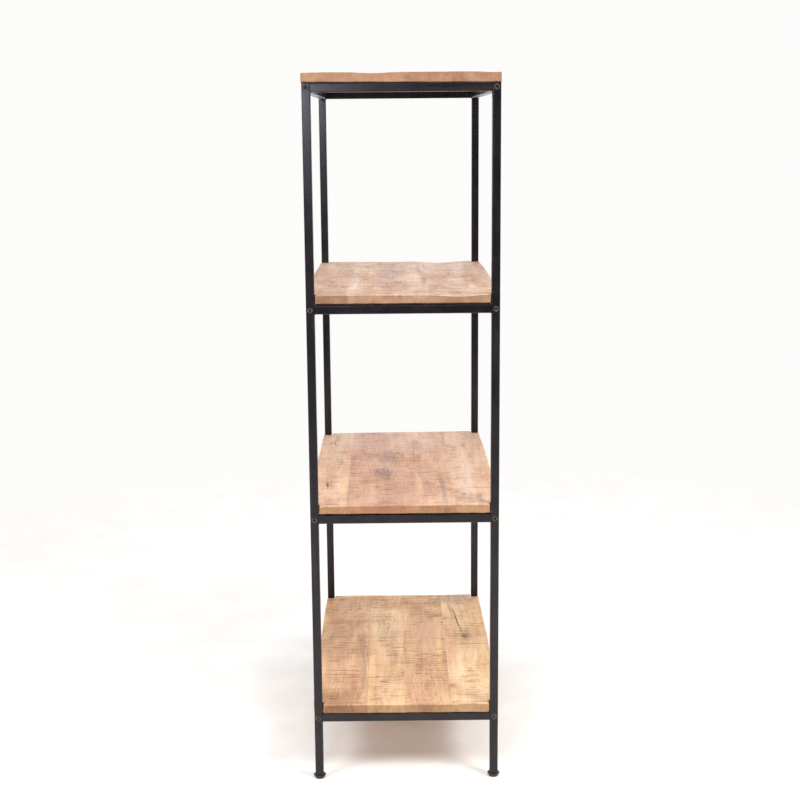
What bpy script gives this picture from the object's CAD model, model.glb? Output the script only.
"""Looks for the open bookcase: solid wood boards with saw marks and hand-planed scoops,
blackened steel tube, welds, bolts and levelling feet, on a pale studio floor.

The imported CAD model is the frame. Lengths are in metres, +Z is up, X runs along the case
and the camera stands outside its +X end. What is cut, welded or threaded by hand in the
real case is made here, in place of the plain CAD solid, and rides on the same body.
"""
import math
import random

import bmesh
import bpy
from mathutils import Matrix, Vector


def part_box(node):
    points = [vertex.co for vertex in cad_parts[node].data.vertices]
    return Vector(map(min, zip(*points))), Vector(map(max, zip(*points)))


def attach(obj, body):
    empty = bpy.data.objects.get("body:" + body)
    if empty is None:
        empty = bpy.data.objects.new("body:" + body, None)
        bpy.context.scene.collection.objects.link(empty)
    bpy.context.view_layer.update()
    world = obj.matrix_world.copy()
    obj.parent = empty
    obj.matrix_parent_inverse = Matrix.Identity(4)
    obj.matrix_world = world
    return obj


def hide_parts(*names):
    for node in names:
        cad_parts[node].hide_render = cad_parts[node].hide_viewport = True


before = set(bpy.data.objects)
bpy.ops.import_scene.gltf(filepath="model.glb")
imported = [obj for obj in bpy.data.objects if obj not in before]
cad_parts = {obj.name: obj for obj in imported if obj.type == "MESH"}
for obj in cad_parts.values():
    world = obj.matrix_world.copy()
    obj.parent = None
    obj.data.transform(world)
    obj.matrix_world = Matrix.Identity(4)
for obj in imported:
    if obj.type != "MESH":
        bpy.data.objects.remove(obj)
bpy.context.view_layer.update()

MM = 0.001
ENDS = {"left": -1, "right": 1}
SIDES = {"front": -1, "back": 1}
CORNERS = [(f"{side}_{end}", ENDS[end], SIDES[side]) for side in SIDES for end in ENDS]
LEVELS = (1, 2, 3, 4)
ROOT = "bookcase"

near_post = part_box("post_front_right")
case_half_length = near_post[1].x
case_half_depth = -near_post[0].y
tube = near_post[1].x - near_post[0].x
post_middle_x = case_half_length - tube / 2
post_middle_y = case_half_depth - tube / 2


# ---------------------------------------------------------------- helpers

def new_object(name, verts, faces, material, body=ROOT, smooth=False):
    """A mesh object that rides on a body."""
    mesh = bpy.data.meshes.new(name)
    mesh.from_pydata(verts, [], faces)
    mesh.validate()
    mesh.materials.append(material)
    if smooth:
        mesh.shade_smooth()
    piece = bpy.data.objects.new(name, mesh)
    bpy.context.scene.collection.objects.link(piece)
    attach(piece, body)
    return piece


def soften(piece, width, segments=3, angle=40.0):
    """Rounds a piece's sharp edges and keeps its flat faces flat."""
    bevel = piece.modifiers.new("rounded_edges", "BEVEL")
    bevel.width = width
    bevel.segments = segments
    bevel.limit_method = "ANGLE"
    bevel.angle_limit = math.radians(angle)
    bevel.use_clamp_overlap = True
    normals = piece.modifiers.new("flat_faces", "WEIGHTED_NORMAL")
    normals.keep_sharp = True


def lathe(profile, segments, at, axis, shape=None):
    """Verts and faces of a profile [(radius, height), ...] turned round an axis at a point.
    shape(radius, height, angle) may move each point to a new (radius, height)."""
    turn = Vector((0, 0, 1)).rotation_difference(Vector(axis)).to_matrix()
    verts, faces = [], []
    for radius, height in profile:
        for k in range(segments):
            angle = 2 * math.pi * k / segments
            r, h = shape(radius, height, angle) if shape else (radius, height)
            local = Vector((r * math.cos(angle), r * math.sin(angle), h)) * MM
            verts.append(Vector(at) + turn @ local)
    for row in range(len(profile) - 1):
        for k in range(segments):
            a, b = row * segments + k, row * segments + (k + 1) % segments
            faces.append((a, b, b + segments, a + segments))
    faces.append(tuple(reversed(range(segments))))
    faces.append(tuple(range((len(profile) - 1) * segments, len(profile) * segments)))
    return verts, faces


def joined(parts):
    """Several (verts, faces) pairs as one."""
    verts, faces = [], []
    for part_verts, part_faces in parts:
        first = len(verts)
        verts += part_verts
        faces += [tuple(first + v for v in face) for face in part_faces]
    return verts, faces


def thread(low, high, radius, pitch, depth, lead=1.2):
    """Profile and shape of a threaded rod from low to high, tapered at both ends."""
    rows = [(radius, h) for h in evenly(low, high, max(4, round((high - low) / (pitch / 6))))]

    def shape(r, h, angle):
        phase = (h / pitch - angle / (2 * math.pi)) % 1.0
        groove = depth * min(1.0, 1.5 * abs(2 * phase - 1))
        end = max(0.0, 1 - min(h - low, high - h) / lead)
        return r - max(groove, 1.1 * depth * end), h

    return rows, shape


def crisp(piece, angle=32.0):
    """Smooth shading with sharp edges where faces meet at more than an angle."""
    piece.data.shade_smooth()
    piece.data.set_sharp_from_angle(angle=math.radians(angle))


def evenly(start, stop, count):
    """count + 1 values from start to stop."""
    return [start + (stop - start) * i / count for i in range(count + 1)]


class Nodes:
    """Builds a material's node tree. Each call adds a node and returns its output."""

    def __init__(self, name):
        self.material = bpy.data.materials.new(name)
        self.material.use_nodes = True
        self.tree = self.material.node_tree
        self.tree.nodes.clear()
        self.out = self.tree.nodes.new("ShaderNodeOutputMaterial")

    def put(self, socket, value):
        if isinstance(value, bpy.types.NodeSocket):
            self.tree.links.new(value, socket)
        elif value is not None:
            socket.default_value = value

    def node(self, kind, **settings):
        made = self.tree.nodes.new(kind)
        for key, value in settings.items():
            setattr(made, key, value)
        return made

    def place(self, output="Object"):
        return self.node("ShaderNodeTexCoord").outputs[output]

    def math(self, operation, a, b=None, clamp=False):
        made = self.node("ShaderNodeMath", operation=operation, use_clamp=clamp)
        for socket, value in zip(made.inputs, (a, b)):
            self.put(socket, value)
        return made.outputs[0]

    def add(self, a, b):
        return self.math("ADD", a, b)

    def sub(self, a, b):
        return self.math("SUBTRACT", a, b)

    def mul(self, a, b):
        return self.math("MULTIPLY", a, b)

    def div(self, a, b):
        return self.math("DIVIDE", a, b)

    def size(self, a):
        return self.math("ABSOLUTE", a)

    def larger(self, a, b):
        return self.math("MAXIMUM", a, b)

    def length(self, a, b):
        return self.math("SQRT", self.add(self.mul(a, a), self.mul(b, b)))

    def split(self, vector):
        return self.node_outputs("ShaderNodeSeparateXYZ", vector)

    def node_outputs(self, kind, value):
        made = self.node(kind)
        self.put(made.inputs[0], value)
        return made.outputs

    def join(self, x, y, z):
        made = self.node("ShaderNodeCombineXYZ")
        for socket, value in zip(made.inputs, (x, y, z)):
            self.put(socket, value)
        return made.outputs[0]

    def scaled(self, vector, scale, shift=(0, 0, 0)):
        made = self.node("ShaderNodeMapping")
        self.put(made.inputs["Vector"], vector)
        self.put(made.inputs["Scale"], scale)
        self.put(made.inputs["Location"], shift)
        return made.outputs[0]

    def noise(self, vector, detail=3.0, roughness=0.5):
        made = self.node("ShaderNodeTexNoise")
        self.put(made.inputs["Vector"], vector)
        self.put(made.inputs["Scale"], 1.0)
        self.put(made.inputs["Detail"], detail)
        self.put(made.inputs["Roughness"], roughness)
        return made.outputs["Fac"]

    def band(self, value, low, high, to_low=0.0, to_high=1.0):
        """value eased from to_low at low to to_high at high."""
        made = self.node("ShaderNodeMapRange", interpolation_type="SMOOTHSTEP")
        self.put(made.inputs["Value"], value)
        self.put(made.inputs["From Min"], low)
        self.put(made.inputs["From Max"], high)
        self.put(made.inputs["To Min"], to_low)
        self.put(made.inputs["To Max"], to_high)
        return made.outputs["Result"]

    def ramp(self, value, stops, interpolation="LINEAR"):
        made = self.node("ShaderNodeValToRGB")
        made.color_ramp.interpolation = interpolation
        elements = made.color_ramp.elements
        while len(elements) < len(stops):
            elements.new(1.0)
        for element, (position, colour) in zip(elements, stops):
            element.position = position
            element.color = (*colour, 1.0)
        self.put(made.inputs[0], value)
        return made.outputs["Color"]

    def mix(self, share, a, b, blend="MIX"):
        made = self.node("ShaderNodeMix", data_type="RGBA", blend_type=blend)
        made.clamp_factor = True
        self.put(made.inputs[0], share)
        self.put(made.inputs[6], a)
        self.put(made.inputs[7], b)
        return made.outputs[2]

    def tint(self, share, colour, factor):
        """colour, multiplied by factor (r, g, b) where share is 1."""
        return self.mix(share, colour, (*factor, 1.0), blend="MULTIPLY")

    def bump(self, height, distance, strength=1.0):
        made = self.node("ShaderNodeBump")
        self.put(made.inputs["Height"], height)
        self.put(made.inputs["Distance"], distance)
        self.put(made.inputs["Strength"], strength)
        return made.outputs["Normal"]

    def surface(self, **values):
        """A principled shader on the material's output, with its sockets set by name."""
        shader = self.node("ShaderNodeBsdfPrincipled")
        for key, value in values.items():
            self.put(shader.inputs[key.replace("_", " ")], value)
        self.tree.links.new(shader.outputs[0], self.out.inputs["Surface"])
        return self.material


def linear(red, green, blue):
    """A display colour, 0 to 255, as the renderer's linear colour."""
    def one(value):
        value /= 255.0
        return value / 12.92 if value <= 0.04045 else ((value + 0.055) / 1.055) ** 2.4
    return (one(red), one(green), one(blue))


# ---------------------------------------------------------------- wood

# Each board: its node, the glue lines between its planks (y, mm), each plank's tone
# on its top and its stain on the ends, its hand-planed scoops (y, half width, depth, mm),
# its knots (x, y, radius, mm, strength), its cracks (x, y, half length, mm), its colour
# patches (x, y, reach along, reach across, kind, strength), its hearts (x, y, stretch, ring
# spacing, reach, strength), how deep its saw marks are, how pale its top has bleached, how
# dark its end grain is, and the gap under its ends (mm).
BOARDS = {
    1: dict(
        node="shelf_board_1",
        joints=(-95, -2, 112),
        tones=(0.42, 0.70, 0.50, 0.80),
        end_stain=(0.4, 0.0, 0.3, 0.15),
        scoops=((-60, 190, 1.7), (120, 90, 1.5), (-190, 40, 0.8)),
        knots=((-56, 167, 10, 0.95), (313, 53, 5, 0.3), (79, -24, 6, 0.35), (-36, -118, 7, 0.3)),
        cracks=((-185, 152, 118),),
        patches=(
            (376, -168, 80, 60, "brown", 1.0),
            (250, -165, 60, 34, "brown", 0.4),
            (250, -86, 230, 9, "amber", 0.8),
            (110, -109, 240, 7, "grey", 0.6),
            (290, 54, 150, 42, "rose", 0.35),
            (60, 95, 130, 9, "amber", 0.9),
            (100, -34, 70, 20, "rose", 0.6),
            (-110, -45, 150, 38, "grey", 0.3),
            (-105, 52, 110, 45, "rose", 0.6),
            (-240, 50, 70, 42, "brown", 0.55),
            (-370, 155, 50, 60, "grey", 0.8),
            (-340, -20, 60, 150, "brown", 0.6),
            (230, 150, 200, 22, "cream", 0.6),
            (60, -165, 150, 30, "rose", 0.5),
        ),
        hearts=((300, 54, 3.6, 10.0, 60, 0.8), (-150, -46, 4.5, 9.0, 40, 0.5)),
        sawn=1.3,
        bleached=(0.91, 0.93, 0.95),
        end_grain=(0.54, 0.478, 0.41),
        under=(1.8, 1.4),
    ),
    2: dict(
        node="shelf_board_2",
        joints=(-140, 34, 123),
        tones=(0.80, 0.36, 0.58, 0.78),
        end_stain=(0.65, 0.15, 0.85, 0.3),
        scoops=((-150, 150, 1.3), (-212, 40, 1.4), (60, 60, 0.5)),
        knots=((310, 146, 8, 0.5), (-278, -201, 6, 0.6), (201, -192, 5, 0.8), (190, 60, 6, 0.4)),
        cracks=((200, -192, 34), (-270, -190, 30)),
        patches=(
            (-300, 0, 150, 230, "pale", 0.45),
            (86, -48, 60, 24, "grey", 1.0),
            (-95, -42, 90, 30, "grey", 0.7),
            (370, -30, 110, 60, "rose", 0.6),
            (240, -150, 150, 9, "amber", 0.8),
            (190, 38, 110, 7, "amber", 0.9),
            (250, 66, 70, 22, "rose", 0.6),
            (220, 98, 200, 8, "grey", 0.6),
            (30, 66, 80, 22, "rose", 0.5),
            (-236, 36, 70, 14, "grey", 0.7),
            (-150, 80, 60, 22, "rose", 0.5),
            (-300, -70, 120, 40, "rose", 0.8),
            (100, 150, 260, 30, "pale", 0.6),
        ),
        hearts=(
            (-10, -45, 4.6, 8.5, 64, 0.8),
            (215, 78, 3.0, 7.5, 36, 0.8),
            (-60, 74, 3.4, 8.0, 36, 0.6),
        ),
        sawn=1.1,
        bleached=(0.82, 0.81, 0.96),
        end_grain=(0.546, 0.466, 0.42),
        under=(4.2, 3.8),
    ),
    3: dict(
        node="shelf_board_3",
        joints=(-128, 0, 60),
        tones=(0.46, 0.66, 0.80, 0.62),
        end_stain=(0.5, 0.2, 0.3, 0.55),
        scoops=((118, 50, 4.6), (10, 40, 1.0), (-40, 50, 0.6)),
        knots=((330, 135, 9, 0.3), (10, 76, 8, 0.35), (-120, -15, 9, 0.35)),
        cracks=(),
        patches=(
            (-300, 0, 150, 230, "pale", 0.3),
            (300, -165, 160, 35, "brown", 0.5),
            (330, 40, 60, 30, "brown", 0.4),
            (200, -120, 300, 12, "pale", 0.55),
            (180, -30, 140, 34, "rose", 0.9),
            (-60, -30, 150, 40, "grey", 0.6),
            (60, 92, 180, 30, "rose", 0.9),
            (150, 22, 220, 14, "pale", 0.5),
            (-60, 52, 300, 8, "grey", 0.7),
            (0, 145, 330, 16, "pale", 0.7),
            (-100, 184, 330, 16, "brown", 0.5),
        ),
        hearts=((160, -64, 4.2, 9.0, 56, 0.7), (20, 110, 5.0, 8.0, 46, 0.6)),
        sawn=1.7,
        bleached=(0.80, 0.87, 1.14),
        end_grain=(0.477, 0.431, 0.45),
        under=(4.8, 4.5),
    ),
    4: dict(
        node="top_board",
        joints=(-72, 20, 130),
        tones=(0.64, 0.50, 0.46, 0.42),
        end_stain=(0.6, 0.15, 0.85, 0.7),
        scoops=((-77, 38, 2.3), (222, 34, 2.2), (-232, 26, 1.1), (30, 120, 0.4)),
        knots=((250, -60, 10, 0.7), (-180, 90, 8, 0.6), (60, 170, 7, 0.5)),
        cracks=((-120, -150, 60), (290, 40, 40)),
        patches=(
            (300, -160, 120, 34, "rose", 0.6),
            (150, -84, 300, 9, "amber", 0.8),
            (60, -30, 130, 34, "grey", 0.6),
            (-200, 40, 160, 30, "rose", 0.6),
            (250, 92, 200, 9, "amber", 0.8),
            (-60, 150, 180, 34, "brown", 0.5),
            (340, 170, 90, 28, "pale", 0.6),
            (-330, -150, 90, 50, "grey", 0.6),
        ),
        hearts=((-160, 52, 4.4, 9.0, 40, 0.7), (240, -128, 3.6, 8.0, 36, 0.7)),
        sawn=0.9,
        bleached=(0.80, 0.81, 0.94),
        end_grain=(0.483, 0.43, 0.433),
        under=(3.2, 0.6),
    ),
}
BOARD_HALF_WIDTH = 0.232
OVERHANG_AT_END = 1.6 * MM
OVERHANG_AT_MIDDLE = 5.0 * MM
EDGE_WAVE = 0.6 * MM
EDGE_WAVELENGTH = 0.310
NOTCH = tube + 2 * MM
COLUMNS_IN_NOTCH = 9
COLUMNS_UNDERCUT = 4
COLUMNS_BETWEEN = 310
ROWS_BETWEEN = 46
ROWS_AT_EDGE = 3


def board_edge(x, side, number):
    """Half the board's depth at x, a little inside the CAD's own hand-cut edge."""
    span = 1 - (x / case_half_length) ** 2
    angle = math.radians(360 * x / EDGE_WAVELENGTH + 97 * number + 70 * side)
    chatter = 0.3 * MM * (1 + math.sin(x / 0.0131 + side) * math.sin(x / 0.0470 + number))
    proud = OVERHANG_AT_END + (OVERHANG_AT_MIDDLE - OVERHANG_AT_END) * span
    return case_half_depth + proud + EDGE_WAVE * math.sin(angle) - chatter


def scooped(board, x, y):
    """Depth of the hand-planed scoops at a point of a board's top."""
    along = 0.80 + 0.20 * math.cos((x - case_half_length) / 0.13)
    total = 0.0
    for middle, half_width, depth in board["scoops"]:
        drift = 0.012 * math.sin((case_half_length - x) / 0.21 + middle)
        total += depth * MM * math.exp(-(((y + drift) - middle * MM) / (half_width * MM)) ** 2)
    return total * along


def undercut(board, column, columns, y):
    """How far a board's underside is planed away at its ends, over the rung."""
    if COLUMNS_UNDERCUT <= column < columns - COLUMNS_UNDERCUT:
        return 0.0
    left, right = board["under"]
    share = 0.5 + y / (2 * case_half_depth)
    ragged = 0.25 * math.sin(y / 0.017) + 0.2 * math.sin(y / 0.0061)
    return (left + (right - left) * min(1.0, max(0.0, share)) + ragged) * MM


def saw_cuts(number, columns, rows):
    """Depth of the saw marks, 0 to 1, for each column of the grid: {column: [depth by row]}."""
    draw = random.Random(40 + number)
    cuts = {}
    column = draw.randint(2, 5)
    while column < columns - 2:
        depths = [0.0] * rows
        for _ in range(draw.randint(2, 4)):
            start = draw.uniform(-0.1, 1.0) * rows
            length = draw.uniform(0.08, 0.42) * rows
            depth = draw.choice((0.2, 0.3, 0.4, 0.5, 1.0))
            for row in range(rows):
                share = (row - start) / length
                if 0 < share < 1:
                    depths[row] = max(depths[row], depth * math.sin(math.pi * share) ** 0.5)
        cuts[column] = depths
        if draw.random() < 0.4:
            cuts[column + 1] = [0.8 * depth for depth in depths]
        column += draw.choice((4, 5, 5, 6, 7, 8))
    return cuts


def make_board(number, material):
    """One board: a fine grid top and bottom, notched round the posts, with walls between."""
    board = BOARDS[number]
    low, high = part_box(board["node"])
    notched = number < LEVELS[-1]
    half = case_half_length
    inner_x = half - NOTCH
    inner_y = case_half_depth - NOTCH
    xs = evenly(-half, -inner_x, COLUMNS_IN_NOTCH)[:-1]
    xs += evenly(-inner_x, inner_x, COLUMNS_BETWEEN)
    xs += evenly(inner_x, half, COLUMNS_IN_NOTCH)[1:]
    straight = evenly(-inner_y, inner_y, ROWS_BETWEEN)
    strips = [i / ROWS_AT_EDGE for i in range(1, ROWS_AT_EDGE + 1)]
    rows = len(straight) + 2 * ROWS_AT_EDGE
    cuts = saw_cuts(number, len(xs), rows)
    verts, marks = [], []
    for layer in (1, 0):
        for i, x in enumerate(xs):
            front = board_edge(x, -1, number)
            back = board_edge(x, 1, number)
            ys = [-inner_y - (front - inner_y) * s for s in reversed(strips)]
            ys += straight
            ys += [inner_y + (back - inner_y) * s for s in strips]
            slack = max(0.0, 1 - (x / inner_x) ** 2)
            for j, y in enumerate(ys):
                bow = slack * 2.6 * MM * math.sin(y / 0.11 + number) + slack * 0.008 * y
                cut = cuts.get(i, [0.0] * rows)[j]
                if layer:
                    z = high.z - 0.05 * MM - scooped(board, x, y) - 0.34 * MM * cut
                else:
                    z = low.z + 0.22 * MM * cut + undercut(board, i, len(xs), y)
                verts.append((x + bow, y, z))
                marks.append(cut)
    count = len(xs) * rows

    def corner_cell(i, j):
        at_end = i < COLUMNS_IN_NOTCH or i >= len(xs) - 1 - COLUMNS_IN_NOTCH
        at_side = j < ROWS_AT_EDGE or j >= rows - 1 - ROWS_AT_EDGE
        return notched and at_end and at_side

    faces = []
    outline = {}
    for i in range(len(xs) - 1):
        for j in range(rows - 1):
            if corner_cell(i, j):
                continue
            a, b = i * rows + j, (i + 1) * rows + j
            top = (a, b, b + 1, a + 1)
            faces.append(top)
            faces.append(tuple(v + count for v in reversed(top)))
            for start, stop in zip(top, top[1:] + top[:1]):
                if (stop, start) in outline:
                    del outline[(stop, start)]
                else:
                    outline[(start, stop)] = True
    for start, stop in outline:
        faces.append((stop, start, start + count, stop + count))

    piece = new_object(f"wood_{board['node']}", verts, faces, material, smooth=True)
    saw = piece.data.attributes.new("saw", "FLOAT", "POINT")
    saw.data.foreach_set("value", marks)
    tidy = bmesh.new()
    tidy.from_mesh(piece.data)
    loose = [v for v in tidy.verts if not v.link_faces]
    bmesh.ops.delete(tidy, geom=loose, context="VERTS")
    tidy.edges.ensure_lookup_table()
    weights = tidy.edges.layers.float.new("bevel_weight_edge")
    for edge in tidy.edges:
        if edge.calc_face_angle(0.0) > math.radians(60):
            at_top = all(v.co.z > high.z - 0.010 for v in edge.verts)
            at_bottom = all(v.co.z < low.z + 0.005 for v in edge.verts)
            edge[weights] = 0.55 if at_top else 1.0 if at_bottom else 0.8
    tidy.to_mesh(piece.data)
    tidy.free()
    bevel = piece.modifiers.new("eased_edges", "BEVEL")
    bevel.width = 2.0 * MM
    bevel.segments = 3
    bevel.limit_method = "WEIGHT"
    bevel.use_clamp_overlap = True
    normals = piece.modifiers.new("flat_faces", "WEIGHTED_NORMAL")
    normals.keep_sharp = True
    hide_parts(board["node"])
    return piece


def wood(number):
    """Mango wood for one board: glued planks, growth rings, fibre, knots and saw marks."""
    board = BOARDS[number]
    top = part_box(board["node"])[1].z / MM
    n = Nodes(f"mango_wood_{number}")
    place = n.scaled(n.place(), (1 / MM,) * 3)
    x, y, z = n.split(place)

    # Planks: a step ramp across the board gives each plank its tone and its own seed
    half = BOARD_HALF_WIDTH / MM
    across = n.div(n.add(y, half), 2 * half)
    starts = (-half, *board["joints"])
    stops = []
    for k, (start, tone, stain) in enumerate(zip(starts, board["tones"], board["end_stain"])):
        seed = (0.37 * k + 0.23 * number) % 1.0
        stops.append(((start + half) / (2 * half), (tone, seed, stain)))
    plank = n.node_outputs("ShaderNodeSeparateColor", n.ramp(across, stops, "CONSTANT"))
    tone, seed, end_stain = plank[0], plank[1], plank[2]
    px = n.add(x, n.mul(seed, 3100.0))
    py = n.add(y, n.mul(seed, 900.0))
    inside = n.join(px, py, z)

    # Growth rings round a pith that wanders below the plank, bent aside by each knot
    wander = n.noise(n.scaled(inside, (0.0022, 0.006, 0.006), (3.0, 1.0, number)), detail=2.0)
    lift = n.noise(n.scaled(inside, (0.0030, 0.004, 0.004), (9.0, 5.0, number)), detail=2.0)
    side = n.mul(n.sub(wander, 0.5), 190.0)
    depth = n.add(n.sub(z, top - 34.0), n.mul(n.sub(lift, 0.5), 150.0))
    centre_y = n.add(n.sub(y, n.mul(n.sub(seed, 0.5), 260.0)), side)
    ring = n.length(centre_y, depth)
    knot_dark, knot_halo = 0.0, 0.0
    for kx, ky, radius, strength in board["knots"]:
        dx = n.div(n.sub(x, kx), radius * 2.2)
        dy = n.div(n.sub(y, ky), radius)
        away = n.length(dx, dy)
        rough_edge = n.noise(n.scaled(place, (0.05,) * 3, (kx, 0, 0)), detail=3.0)
        away = n.add(away, n.mul(n.sub(rough_edge, 0.5), 1.1))
        near = n.math("EXPONENT", n.mul(n.mul(away, away), -0.07))
        ring = n.add(ring, n.mul(near, radius * 2.6))
        knot_dark = n.larger(knot_dark, n.band(away, 1.2, 0.3, 0.0, strength))
        knot_halo = n.larger(knot_halo, n.mul(n.mul(near, near), strength))

    wobble = n.noise(n.scaled(inside, (0.012, 0.05, 0.05)), detail=3.0)
    rough_ring = n.add(ring, n.mul(wobble, 11.0))
    ring_wave = n.math("SINE", n.mul(rough_ring, 2 * math.pi / RING_SPACING))
    ring_clear = n.noise(n.scaled(inside, (0.005, 0.011, 0.011), (4, 4, 4)), detail=2.0)
    ring_clear = n.band(ring_clear, 0.42, 0.66)
    late = n.mul(n.band(ring_wave, -0.1, 1.0), ring_clear)

    # Streaks run with the grain and drift a little; blotches break them up
    drift = n.noise(n.scaled(inside, (0.004, 0.009, 0.009), (2, 7, number)), detail=2.0)
    ly = n.add(py, n.mul(n.sub(drift, 0.5), 52.0))
    lz = n.mul(z, 0.05)

    def drawn_out(along, across, layer, detail, roughness=0.5):
        spot = n.join(n.mul(px, along), n.mul(ly, across), n.add(lz, layer) if layer else lz)
        return n.noise(spot, detail=detail, roughness=roughness)

    streak = drawn_out(0.0034, 0.042, 0.0, 5.0, 0.60)
    sap = drawn_out(0.0024, 0.065, 40.0, 3.0)
    dusky = drawn_out(0.0055, 0.034, 80.0, 4.0, 0.6)
    fibre = drawn_out(0.010, 0.34, 0.0, 5.0, 0.66)
    fine = n.noise(n.scaled(inside, (0.030, 0.9, 0.9)), detail=4.0, roughness=0.6)
    cloud = n.noise(n.scaled(inside, (0.0075, 0.020, 0.020), (0, 0, 7)), detail=5.0, roughness=0.62)
    pores = n.band(n.noise(n.scaled(inside, (0.11, 1.7, 1.7), (1, 4, 2)), detail=2.0), 0.63, 0.72)

    # Colour: streaky heartwood and sapwood, then patches, rings, fibre and knots
    warmth = n.add(n.mul(tone, 0.34), n.add(n.mul(streak, 0.52), n.mul(cloud, 0.30)))
    colour = n.ramp(warmth, (
        (0.42, WOOD_ROSE),
        (0.53, WOOD_TAN),
        (0.64, WOOD_BODY),
        (0.76, WOOD_CREAM),
    ))
    colour = n.mix(n.band(sap, 0.56, 0.74, 0.0, 0.45), colour, (*PATCH_COLOURS["amber"], 1.0))
    colour = n.mix(n.band(dusky, 0.55, 0.74, 0.0, 0.7), colour, (*PATCH_COLOURS["grey"], 1.0))
    combed = n.band(n.add(n.mul(fibre, 0.5), n.mul(streak, 0.5)), 0.36, 0.60, 0.45, 1.15)
    for patch_x, patch_y, along, across, kind, strength in board["patches"]:
        dx = n.div(n.sub(x, patch_x), along)
        dy = n.div(n.sub(n.add(y, n.mul(n.sub(drift, 0.5), 30.0)), patch_y), across)
        away = n.add(n.mul(dx, dx), n.mul(dy, dy))
        away = n.add(away, n.mul(n.sub(cloud, 0.5), 1.6))
        share = n.mul(n.band(away, 1.5, 0.1), n.mul(combed, strength))
        colour = n.mix(n.math("MINIMUM", share, 0.92), colour, (*PATCH_COLOURS[kind], 1.0))
    for heart_x, heart_y, stretch, spacing, reach, strength in board["hearts"]:
        dx = n.div(n.sub(x, heart_x), stretch)
        dy = n.sub(y, heart_y)
        arc = n.length(dx, dy)
        bend = n.noise(n.scaled(place, (0.007, 0.022, 0.022), (heart_x, 0, 0)), detail=4.0)
        arc = n.add(arc, n.mul(n.sub(bend, 0.5), 34.0))
        line = n.band(n.math("SINE", n.mul(arc, 2 * math.pi / spacing)), 0.35, 1.0)
        share = n.mul(line, n.mul(n.band(arc, reach, 0.55 * reach), strength))
        colour = n.tint(n.mul(share, combed), colour, (0.82, 0.74, 0.66))
    colour = n.tint(n.mul(late, 0.34), colour, (0.80, 0.72, 0.64))
    colour = n.tint(n.band(fibre, 0.46, 0.72, 0.0, 0.9), colour, (0.80, 0.73, 0.66))
    colour = n.mix(n.band(fibre, 0.46, 0.26, 0.0, 0.3), colour, (*PATCH_COLOURS["pale"], 1.0))
    colour = n.tint(n.band(fine, 0.45, 0.75, 0.0, 0.5), colour, (0.84, 0.80, 0.74))
    colour = n.tint(n.mul(pores, 0.5), colour, (0.62, 0.52, 0.42))
    colour = n.tint(n.mul(knot_halo, 0.6), colour, (0.66, 0.58, 0.52))
    colour = n.mix(knot_dark, colour, (*KNOT_HEART, 1.0))

    # Saw marks run across the grain, in patches: the cut ones are in the mesh
    cut = n.node("ShaderNodeAttribute", attribute_name="saw").outputs["Fac"]
    patch = n.scaled(inside, (0.005, 0.012, 0.0), (11, 3, number))
    patch = n.noise(patch, detail=3.0, roughness=0.6)
    patchy = n.band(patch, 0.40, 0.56, 0.10, 1.0)
    sway = n.noise(n.scaled(place, (0.002, 0.010, 0.0), (2, 8, 0)), detail=1.0)
    swing = n.add(x, n.mul(sway, 14.0))
    stroke = n.join(n.mul(swing, 0.15), n.mul(py, 0.018), n.mul(seed, 9.0))
    stroke = n.noise(stroke, detail=2.0, roughness=0.7)
    strokes = n.mul(n.band(stroke, 0.54, 0.66), patchy)
    rhythm = n.math("SINE", n.mul(swing, 2 * math.pi / SAW_FEED))
    teeth = n.mul(n.band(rhythm, 0.2, 1.0), n.band(patch, 0.48, 0.60, 0.0, 0.55))
    groove = n.larger(n.mul(cut, n.band(patch, 0.34, 0.52, 0.30, 1.0)), strokes)
    groove = n.math("MAXIMUM", groove, teeth, clamp=True)
    normal_x, normal_y, normal_z = n.split(n.place("Normal"))
    faces_up = n.band(n.size(normal_z), 0.55, 0.85)
    groove = n.math("MINIMUM", n.mul(n.mul(groove, faces_up), board["sawn"]), 1.0)
    colour = n.tint(groove, colour, (0.60, 0.48, 0.41))

    for start_x, crack_y, half_length in board["cracks"]:
        run = n.div(n.size(n.sub(x, start_x)), half_length)
        bend = n.noise(n.scaled(place, (0.010, 0.0, 0.0)), detail=2.0)
        bend = n.mul(n.sub(bend, 0.5), 12.0)
        lean = n.mul(n.sub(x, start_x), 0.10)
        off = n.size(n.sub(y, n.add(n.add(bend, lean), crack_y)))
        width = n.mul(n.math("SQRT", n.math("SUBTRACT", 1.0, run, clamp=True)), 2.7)
        split = n.mul(n.band(n.sub(off, width), 0.2, -1.2), faces_up)
        colour = n.mix(n.mul(split, 0.85), colour, (*CRACK_DARK, 1.0))
    colour = n.tint(faces_up, colour, board["bleached"])

    # Ends and edges: end grain drinks more lacquer, so it is browner
    ends = n.band(n.size(normal_x), 0.55, 0.85)
    edges = n.band(n.size(normal_y), 0.55, 0.85)
    speck = n.noise(n.scaled(place, (0.2, 0.30, 0.55)), detail=4.0, roughness=0.65)
    colour = n.tint(ends, colour, board["end_grain"])
    colour = n.tint(n.mul(ends, end_stain), colour, (0.76, 0.72, 0.72))
    colour = n.tint(edges, colour, LONG_EDGE)
    colour = n.tint(n.mul(ends, n.band(speck, 0.46, 0.70, 0.0, 0.6)), colour, (0.70, 0.60, 0.54))

    # Worn arrises are paler: where a face is neither quite flat nor quite upright
    arris = n.sub(1.0, n.larger(faces_up, n.larger(ends, edges)))
    rub = n.noise(n.scaled(place, (0.03,) * 3, (0, 0, 4)), detail=3.0)
    rubbed = n.mul(n.larger(arris, 0.0), n.band(rub, 0.45, 0.65, 0.0, 0.45))
    colour = n.mix(rubbed, colour, (*WOOD_CREAM, 1.0))

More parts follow.
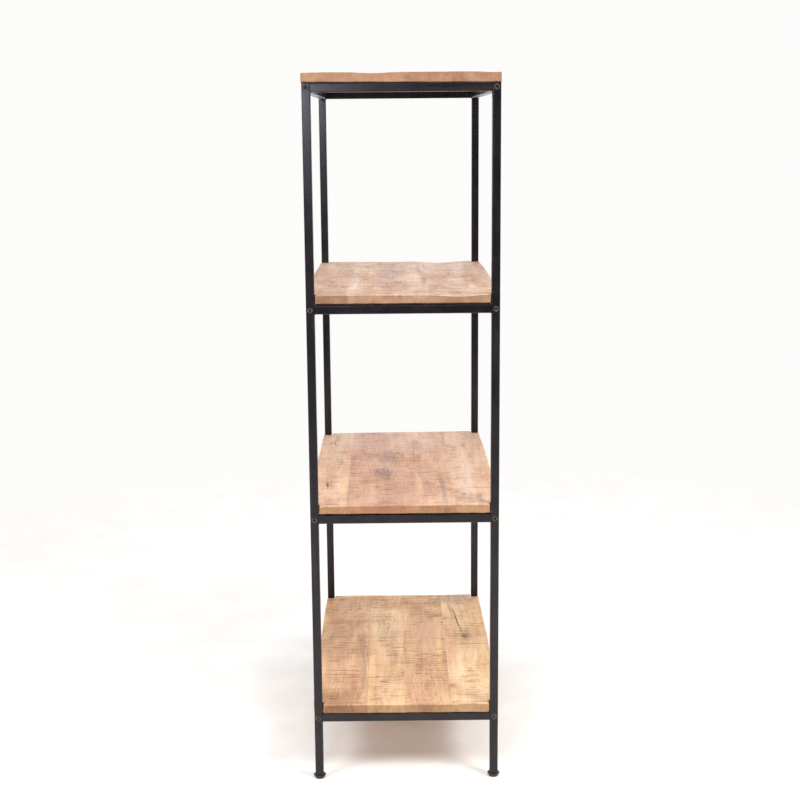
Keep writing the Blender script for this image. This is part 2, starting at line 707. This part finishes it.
    roughness = n.add(n.mul(fine, 0.16), n.add(0.36, n.mul(groove, 0.16)))
    height = n.sub(n.mul(fibre, 0.35), n.add(n.mul(groove, 1.3), n.mul(pores, 0.30)))
    height = n.sub(height, n.mul(knot_dark, 0.6))
    height = n.add(height, n.mul(fine, 0.22))
    return n.surface(
        Base_Color=colour,
        Roughness=roughness,
        Specular_IOR_Level=0.5,
        Normal=n.bump(height, 0.30 * MM, 0.9),
    )


WOOD_ROSE = linear(196, 148, 115)
WOOD_TAN = linear(214, 168, 128)
WOOD_BODY = linear(229, 186, 142)
WOOD_CREAM = linear(240, 207, 162)
KNOT_HEART = linear(112, 78, 66)
CRACK_DARK = linear(70, 52, 46)
LONG_EDGE = (0.88, 0.78, 0.70)
RING_SPACING = 8.5  # mm, between growth rings
SAW_FEED = 12.4  # mm, between the strokes of the frame saw
PATCH_COLOURS = {
    "amber": linear(240, 200, 144),
    "cream": linear(243, 214, 172),
    "pale": linear(242, 214, 182),
    "rose": linear(208, 159, 128),
    "brown": linear(180, 132, 94),
    "grey": linear(170, 138, 116),
}

for number in LEVELS:
    make_board(number, wood(number))


# ---------------------------------------------------------------- steel and plastic

def tube_steel(name, along):
    """Blackened, lacquered mild steel tube; along is the direction it was drawn in."""
    n = Nodes(name)
    place = n.scaled(n.place(), (1 / MM,) * 3)

    def lengthwise(long, slim, shift=(0, 0, 0)):
        return n.scaled(place, [long if a else slim for a in along], shift)

    drawn = n.noise(lengthwise(0.010, 0.9), detail=4.0, roughness=0.6)
    scale = n.noise(n.scaled(place, (0.020,) * 3), detail=5.0, roughness=0.62)
    smear = n.noise(lengthwise(0.006, 0.05, (7, 0, 3)), detail=4.0)
    peel = n.noise(n.scaled(place, (0.45,) * 3), detail=2.0)
    scratch = n.noise(lengthwise(0.02, 1.6, (3, 9, 1)), detail=2.0)
    scratched = n.mul(n.band(scratch, 0.70, 0.78), n.band(scale, 0.50, 0.68))

    colour = n.mix(n.band(scale, 0.30, 0.72), (*STEEL_DARK, 1.0), (*STEEL_BODY, 1.0))
    colour = n.mix(n.band(smear, 0.52, 0.74, 0.0, 0.55), colour, (*STEEL_WARM, 1.0))
    nx, ny, nz = n.split(n.place("Normal"))
    flat = n.larger(n.size(nx), n.larger(n.size(ny), n.size(nz)))
    corner = n.band(flat, 0.985, 0.90)
    worn = n.mul(corner, n.band(drawn, 0.46, 0.66, 0.05, 0.35))
    colour = n.mix(worn, colour, (*STEEL_RUBBED, 1.0))
    colour = n.mix(n.mul(scratched, 0.22), colour, (*STEEL_RUBBED, 1.0))
    roughness = n.add(n.mul(scale, 0.06), n.add(n.mul(drawn, 0.08), n.mul(smear, 0.15)))
    roughness = n.add(0.12, roughness)
    height = n.add(n.mul(drawn, 0.35), n.sub(n.mul(peel, 0.5), scratched))
    return n.surface(
        Base_Color=colour,
        Metallic=0.0,
        Roughness=roughness,
        Specular_IOR_Level=0.32,
        Specular_Tint=(1.0, 0.88, 0.93, 1.0),
        Coat_Weight=0.12,
        Coat_Roughness=0.10,
        Normal=n.bump(height, 0.022 * MM),
    )


def bare_steel(name, colour, dark, roughness, wear=0.5):
    """Plain, burnished or zinc-plated steel of a fastener."""
    n = Nodes(name)
    place = n.scaled(n.place(), (1 / MM,) * 3)
    blotch = n.noise(n.scaled(place, (0.16,) * 3), detail=4.0, roughness=0.6)
    grit = n.noise(n.scaled(place, (1.4,) * 3), detail=4.0, roughness=0.65)
    tone = n.mix(n.band(blotch, 0.35, 0.66), (*dark, 1.0), (*colour, 1.0))
    tone = n.tint(n.band(grit, 0.50, 0.75, 0.0, wear), tone, (0.62, 0.58, 0.54))
    recess = n.node("ShaderNodeAttribute", attribute_name="recess").outputs["Fac"]
    tone = n.tint(recess, tone, (0.26, 0.23, 0.21))
    return n.surface(
        Base_Color=tone,
        Metallic=1.0,
        Roughness=n.add(roughness, n.mul(n.sub(grit, 0.5), 0.22)),
        Normal=n.bump(grit, 0.03 * MM),
    )


def black_plastic(name, body, scuff, share):
    """Moulded black plastic with a fine grain and scuffs."""
    n = Nodes(name)
    place = n.scaled(n.place(), (1 / MM,) * 3)
    grain = n.noise(n.scaled(place, (1.1,) * 3), detail=3.0, roughness=0.6)
    rub = n.noise(n.scaled(place, (0.10, 0.10, 0.35)), detail=5.0, roughness=0.66)
    rubbed = n.band(rub, 0.52, 0.72, 0.0, share)
    return n.surface(
        Base_Color=n.mix(rubbed, (*body, 1.0), (*scuff, 1.0)),
        Roughness=n.add(0.42, n.mul(n.add(grain, rubbed), 0.20)),
        Specular_IOR_Level=0.5,
        Normal=n.bump(grain, 0.05 * MM),
    )


def weld_steel(name):
    """Weld metal under the black finish, with heat-darkened edges."""
    n = Nodes(name)
    place = n.scaled(n.place(), (1 / MM,) * 3)
    spatter = n.noise(n.scaled(place, (0.6,) * 3), detail=4.0, roughness=0.65)
    heat = n.noise(n.scaled(place, (0.09,) * 3), detail=3.0)
    colour = n.mix(n.band(heat, 0.35, 0.65), (*STEEL_DARK, 1.0), (*STEEL_WARM, 1.0))
    colour = n.mix(n.band(spatter, 0.58, 0.74, 0.0, 0.5), colour, (*STEEL_RUBBED, 1.0))
    return n.surface(
        Base_Color=colour,
        Roughness=n.add(0.30, n.mul(spatter, 0.22)),
        Specular_IOR_Level=0.55,
        Coat_Weight=0.3,
        Coat_Roughness=0.2,
        Normal=n.bump(spatter, 0.10 * MM),
    )


STEEL_DARK = (0.005, 0.0042, 0.0051)
STEEL_BODY = (0.011, 0.0093, 0.0108)
STEEL_WARM = (0.022, 0.0155, 0.0142)
STEEL_RUBBED = (0.095, 0.085, 0.080)

post_steel = tube_steel("post_steel", (False, False, True))
rung_steel = tube_steel("rung_steel", (False, True, False))
rail_steel = tube_steel("rail_steel", (True, False, False))
bolt_steel = bare_steel("bolt_steel", (0.20, 0.18, 0.17), (0.08, 0.072, 0.068), 0.58, 0.7)
screw_steel = bare_steel("screw_zinc", (0.62, 0.63, 0.65), (0.44, 0.45, 0.47), 0.30, 0.4)
stem_steel = bare_steel("stem_zinc", (0.58, 0.59, 0.60), (0.40, 0.41, 0.42), 0.32, 0.4)
plug_steel = bare_steel("plug_plain_steel", (0.40, 0.39, 0.38), (0.22, 0.21, 0.20), 0.45, 0.6)
cap_plastic = black_plastic("cap_plastic", (0.012, 0.012, 0.013), (0.05, 0.05, 0.052), 0.5)
foot_plastic = black_plastic("foot_plastic", (0.016, 0.015, 0.015), (0.10, 0.095, 0.09), 0.7)
weld_metal = weld_steel("weld_metal")


def paint_node(name, material):
    """Gives a carried-over CAD node its material."""
    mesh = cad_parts[name].data
    mesh.materials.clear()
    mesh.materials.append(material)


for corner, _, _ in CORNERS:
    paint_node(f"post_{corner}", post_steel)
    paint_node(f"post_cap_{corner}", cap_plastic)
    paint_node(f"foot_insert_{corner}", cap_plastic)
for level in LEVELS:
    for end in ENDS:
        paint_node(f"rung_{end}_{level}", rung_steel)
    for side in SIDES:
        paint_node(f"rail_{side}_{level}", rail_steel)
    paint_node(f"rail_plugs_{level}", plug_steel)


# ---------------------------------------------------------------- welds and fasteners

def weld_run(points, radius, ripple):
    """A weld bead along a path: a tube whose radius swells with each ripple of the weld."""
    verts, faces = [], []
    ring = 8
    for i, point in enumerate(points):
        before = points[max(0, i - 1)]
        after = points[min(len(points) - 1, i + 1)]
        axis = (after - before).normalized()
        across = axis.cross(Vector((0, 1, 0))).normalized()
        along_y = across.cross(axis).normalized()
        run = sum((points[k + 1] - points[k]).length for k in range(i))
        swell = abs(math.sin(math.pi * run / ripple))
        end = min(1.0, 0.35 + min(i, len(points) - 1 - i) * 0.16)
        r = radius * end * (0.80 + 0.20 * swell)
        for k in range(ring):
            angle = 2 * math.pi * k / ring
            verts.append(point + (across * math.cos(angle) + along_y * math.sin(angle)) * r)
    for i in range(len(points) - 1):
        for k in range(ring):
            a, b = i * ring + k, i * ring + (k + 1) % ring
            faces.append((a, b, b + ring, a + ring))
    faces.append(tuple(reversed(range(ring))))
    faces.append(tuple(range(len(verts) - ring, len(verts))))
    return verts, faces


def make_welds():
    """Beads where each rung meets a post, on its lower and inner faces; none show outside."""
    draw = random.Random(5)
    runs = []
    inner_face = post_middle_y - tube / 2
    for level in LEVELS:
        low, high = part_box(f"rung_right_{level}")
        corner_radius = 2.0 * MM
        for end in (-1, 1):
            near = end * case_half_length
            far = end * (case_half_length - tube)
            for side in (-1, 1):
                y = side * (inner_face - 0.15 * MM)
                path = []
                for share in evenly(0.0, 1.0, 46):
                    path.append(Vector((near + (far - near) * (0.06 + 0.84 * share), y, low.z)))
                for share in evenly(0.0, 1.0, 8):
                    angle = math.pi / 2 * share
                    path.append(Vector((
                        far + end * corner_radius * (1 - math.sin(angle)),
                        y,
                        low.z + corner_radius * (1 - math.cos(angle)),
                    )))
                for share in evenly(0.0, 1.0, 42)[1:]:
                    climb = (tube - 2 * corner_radius) * 0.9 * share
                    path.append(Vector((far, y, low.z + corner_radius + climb)))
                jitter = [Vector((0, 0, draw.uniform(-0.04, 0.04) * MM)) for _ in path]
                path = [a + b for a, b in zip(path, jitter)]
                radius, ripple = draw.uniform(1.45, 1.65) * MM, draw.uniform(2.2, 2.8) * MM
                runs.append(weld_run(path, radius, ripple))
    beads = new_object("weld_beads", *joined(runs), weld_metal, smooth=True)


def in_hexagon(x, y, half_width):
    """Whether a point lies inside a hexagonal socket."""
    return max(abs(x), abs(x / 2 + y * 0.8660), abs(x / 2 - y * 0.8660)) < half_width


def in_cross(x, y, reach, half_width):
    """Whether a point lies inside a cross recess."""
    return min(abs(x), abs(y)) < half_width and max(abs(x), abs(y)) < reach


def headed(head_radius, head_height, recess_depth, inside, turned):
    """Profile, shape and test of a domed screw head with a recess sunk in its top."""
    dome = (head_radius ** 2 + head_height ** 2) / (2 * head_height)
    rows = [(head_radius - 0.35, 0.0), (head_radius, 0.25), (head_radius, 0.55)]
    for r in evenly(head_radius - 0.15, 0.05, round(head_radius / 0.22)):
        rows.append((r, max(0.6, head_height - dome + math.sqrt(dome ** 2 - r ** 2))))

    def sunk(r, angle):
        return inside(r * math.cos(angle + turned), r * math.sin(angle + turned))

    def shape(r, h, angle):
        return (r, h - recess_depth) if h > 0.58 and sunk(r, angle) else (r, h)

    return rows, shape


def mark_recess(piece, heads, segments):
    """Marks the sunk points of each head, so the metal there is dark. Each head is the
    number of its first point, its profile and its shape."""
    values = [0.0] * len(piece.data.vertices)
    for first, rows, shape in heads:
        for row, (r, h) in enumerate(rows):
            for k in range(segments):
                _, moved = shape(r, h, 2 * math.pi * k / segments)
                if moved < h - 0.1:
                    values[first + row * segments + k] = 1.0
    recess = piece.data.attributes.new("recess", "FLOAT", "POINT")
    recess.data.foreach_set("value", values)


def make_fasteners(name, material, seats, seed, turn, head, inside, rod, neck, segments):
    """Fasteners of one kind as one piece, each at its seat, a point and an axis. Each is a
    head, a threaded rod and a plain neck, with the segments given for the three."""
    draw = random.Random(seed)
    parts, heads = [], []
    for at, axis in seats:
        rows, shape = headed(*head, inside, draw.uniform(0, turn))
        heads.append((sum(len(verts) for verts, _ in parts), rows, shape))
        parts.append(lathe(rows, segments[0], at, axis, shape))
        rows, shape = thread(*rod)
        parts.append(lathe(rows, segments[1], at, axis, shape))
        parts.append(lathe(neck, segments[2], at, axis))
    piece = new_object(name, *joined(parts), material)
    mark_recess(piece, heads, segments[0])
    crisp(piece)
    return piece


# Heads: radius, height and recess depth. Rods: from, to, radius, pitch, thread depth and
# taper. Necks: (radius, height). All are in mm, from the face that the head bears on.
BOLT_HEAD = (6.95, 4.35, 2.5)
BOLT_ROD = (-44.0, -19.0, 3.95, 1.25, 0.65)
BOLT_NECK = ((3.6, -18.9), (3.95, -18.4), (3.95, 0.2))
SCREW_HEAD = (3.75, 2.35, 1.2)
SCREW_NECK = ((1.3, -2.4), (1.95, -1.8), (1.95, 0.2))
STEM_ROD = (3.95, 1.25, 0.62)


def make_bolts(level):
    """Button-head socket bolts through the posts into the plugs in the rails."""
    low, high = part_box(f"corner_bolts_{level}")
    height = (high.z + low.z) / 2
    seats = [
        ((end * case_half_length, side * post_middle_y, height), (end, 0, 0))
        for end in (-1, 1) for side in (-1, 1)
    ]
    piece = make_fasteners(
        f"button_bolts_{level}", bolt_steel, seats, 60 + level, math.pi / 3, BOLT_HEAD,
        lambda x, y: in_hexagon(x, y, 2.5), BOLT_ROD, BOLT_NECK, (72, 24, 32),
    )
    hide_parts(f"corner_bolts_{level}")


def make_screws(level):
    """Pan-head screws up through the rails into the board."""
    low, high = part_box(f"board_screws_{level}")
    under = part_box(f"rail_front_{level}")[0].z
    reach = (high.z - under) / MM
    spread = high.x - 3.8 * MM
    seats = [
        ((x, side * post_middle_y, under), (0, 0, -1))
        for x in (-spread, spread) for side in (-1, 1)
    ]
    piece = make_fasteners(
        f"pan_screws_{level}", screw_steel, seats, 80 + level, math.pi / 2, SCREW_HEAD,
        lambda x, y: in_cross(x, y, 2.1, 0.42), (-reach + 0.1, -2.0, 1.95, 1.4, 0.6, 3.0),
        SCREW_NECK, (48, 20, 20),
    )
    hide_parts(f"board_screws_{level}")


# A foot base from the middle of its underside, out, up and back in to the stem's seat:
# (radius, height, mm)
BASE_PROFILE = (
    (0.05, 0.0), (7.9, 0.0), (8.3, 0.45), (8.9, 0.45), (9.3, 0.0), (10.0, 0.0), (10.55, 0.35),
    (10.85, 1.0), (11.3, 1.7), (11.9, 2.7), (12.6, 3.8), (13.3, 4.9), (14.0, 6.0), (14.5, 6.8),
    (14.85, 7.4), (14.9, 8.2), (14.8, 8.7), (14.4, 9.2), (13.7, 9.55), (12.9, 9.68),
    (11.2, 9.85), (9.2, 10.05), (7.5, 10.12), (7.2, 9.6), (6.5, 9.6), (6.2, 10.12),
    (4.6, 10.12), (4.35, 9.9), (4.32, 3.05), (0.05, 3.05),
)


def make_foot(corner, end, side):
    """A levelling foot: its threaded stem, and its moulded, fluted base."""
    at = (end * post_middle_x, side * post_middle_y, 0.0)
    low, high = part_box(f"foot_stem_{corner}")
    rows, shape = thread(low.z / MM + 0.05, high.z / MM - 0.05, *STEM_ROD)
    turned = lathe(rows, 32, at, (0, 0, 1), shape)
    stem = new_object(f"threaded_stem_{corner}", *turned, stem_steel, f"stem_{corner}")
    crisp(stem, 50.0)
    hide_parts(f"foot_stem_{corner}")

    def fluted(r, h, angle):
        if 11.0 < r and 1.5 < h < 8.9:
            ease = min(1.0, (h - 1.5) / 1.2, (8.9 - h) / 0.5)
            r -= 0.75 * ease * max(0.0, math.cos(18 * angle)) ** 2
        return r, h

    turned = lathe(BASE_PROFILE, 144, at, (0, 0, 1), fluted)
    base = new_object(f"moulded_base_{corner}", *turned, foot_plastic, f"base_{corner}")
    crisp(base)
    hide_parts(f"foot_base_{corner}")


make_welds()
for level in LEVELS:
    make_bolts(level)
    make_screws(level)
for corner, end, side in CORNERS:
    make_foot(corner, end, side)
    soften(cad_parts[f"post_cap_{corner}"], 0.3 * MM)
    soften(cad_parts[f"foot_insert_{corner}"], 0.3 * MM)


# ---------------------------------------------------------------- stage

def fading_floor(name):
    """Pale studio paper that melts into the white surround away from the object."""
    n = Nodes(name)
    x, y, z = n.split(n.place())
    away = n.length(x, y)
    paper = n.noise(n.scaled(n.place(), (6.0,) * 3), detail=6.0, roughness=0.6)
    colour = n.mix(n.band(paper, 0.35, 0.65), (*PAPER_DARK, 1.0), (*PAPER_LIGHT, 1.0))
    nap = n.noise(n.scaled(n.place(), (160.0,) * 3), detail=3.0)
    n.surface(
        Base_Color=colour,
        Roughness=0.75,
        Specular_IOR_Level=0.2,
        Normal=n.bump(nap, 0.4 * MM, 0.5),
    )
    lit = n.out.inputs["Surface"].links[0].from_socket
    glow = n.node("ShaderNodeEmission")
    n.put(glow.inputs["Color"], (*SURROUND, 1.0))
    fade = n.node("ShaderNodeMixShader")
    n.put(fade.inputs[0], n.band(away, 1.3, 3.6))
    n.put(fade.inputs[1], lit)
    n.put(fade.inputs[2], glow.outputs[0])
    n.tree.links.new(fade.outputs[0], n.out.inputs["Surface"])
    return n.material


SURROUND = (0.98, 0.975, 0.965)
PAPER_DARK = linear(240, 238, 236)
PAPER_LIGHT = linear(245, 244, 243)
FLOOR_RADIUS = 40.0
FLOOR_CORNERS = 64

floor_mesh = bpy.data.meshes.new("studio_floor")
turns = [2 * math.pi * k / FLOOR_CORNERS for k in range(FLOOR_CORNERS)]
rim = [(FLOOR_RADIUS * math.cos(turn), FLOOR_RADIUS * math.sin(turn), 0.0) for turn in turns]
floor_mesh.from_pydata(rim, [], [tuple(range(FLOOR_CORNERS))])
floor_mesh.materials.append(fading_floor("studio_paper"))
floor = bpy.data.objects.new("studio_floor", floor_mesh)
bpy.context.scene.collection.objects.link(floor)

world = bpy.data.worlds.new("studio")
world.use_nodes = True
world.node_tree.nodes["Background"].inputs["Color"].default_value = (*SURROUND, 1.0)
world.node_tree.nodes["Background"].inputs["Strength"].default_value = 1.0
bpy.context.scene.world = world
bpy.context.scene.view_settings.view_transform = "Standard"
bpy.context.scene.view_settings.look = "None"


def softbox(name, at, look_at, size, power, colour=(1.0, 1.0, 1.0)):
    light = bpy.data.lights.new(name, "AREA")
    light.shape = "RECTANGLE"
    light.size, light.size_y = size
    light.energy = power
    light.color = colour
    lamp = bpy.data.objects.new(name, light)
    lamp.location = at
    lamp.rotation_euler = (Vector(look_at) - Vector(at)).to_track_quat("-Z", "Y").to_euler()
    bpy.context.scene.collection.objects.link(lamp)
    return lamp


overhead = softbox("softbox_overhead", (2.5, 0.0, 3.1), (0.2, 0.0, 0.6), (1.2, 1.2), 26.0)
softbox("softbox_left", (3.75, -0.68, 1.84), (0.3, -0.2, 1.6), (0.5, 0.55), 21.0, (0.78, 0.87, 1.0))
side_left = softbox("softbox_side_left", (2.0, -2.0, 2.8), (0.1, 0.0, 0.2), (1.1, 1.1), 48.0)
side_right = softbox("softbox_side_right", (2.0, 2.0, 2.8), (0.1, 0.0, 0.2), (1.1, 1.1), 74.0)
# These three would glare in the boards' tops as seen from behind
for lamp in (overhead, side_left, side_right):
    lamp.visible_glossy = False


def dark_panel(name, middle, half_width, half_height):
    """A dark screen across the room's near end; it only shows in what faces it."""
    x, y, z = middle
    signs = ((-1, -1), (1, -1), (1, 1), (-1, 1))
    corners = [(x, y + a * half_width, z + b * half_height) for a, b in signs]
    mesh = bpy.data.meshes.new(name)
    mesh.from_pydata(corners, [], [(0, 1, 2, 3)])
    n = Nodes(name)
    mesh.materials.append(n.surface(Base_Color=(0.03, 0.03, 0.03, 1.0), Roughness=0.9))
    panel = bpy.data.objects.new(name, mesh)
    panel.visible_camera = False
    bpy.context.scene.collection.objects.link(panel)


dark_panel("dark_panel", (4.8, 0.0, 2.2), 5.0, 2.2)


# ---------------------------------------------------------------- camera

CAMERA_AT = Vector((3.6415, -0.0308, 1.5824))
CAMERA_YAW = math.radians(0.388)
CAMERA_PITCH = math.radians(11.035)
CAMERA_ROLL = math.radians(0.475)
CAMERA_LENS = 63.234


def aim(yaw, pitch, roll):
    """Camera axes for a view along -X, turned by yaw and pitched down, then rolled."""
    right = Vector((math.sin(yaw), math.cos(yaw), 0.0))
    level = math.cos(pitch)
    forward = Vector((-level * math.cos(yaw), level * math.sin(yaw), -math.sin(pitch)))
    up = right.cross(forward)
    rolled_right = math.cos(roll) * right - math.sin(roll) * up
    rolled_up = math.sin(roll) * right + math.cos(roll) * up
    return Matrix((rolled_right, rolled_up, -forward)).transposed()


lens = bpy.data.cameras.new("studio_camera")
lens.lens = CAMERA_LENS
lens.sensor_width = 36.0
camera = bpy.data.objects.new("studio_camera", lens)
axes = aim(CAMERA_YAW, CAMERA_PITCH, CAMERA_ROLL).to_4x4()
camera.matrix_world = Matrix.Translation(CAMERA_AT) @ axes
bpy.context.scene.collection.objects.link(camera)
bpy.context.scene.camera = camera
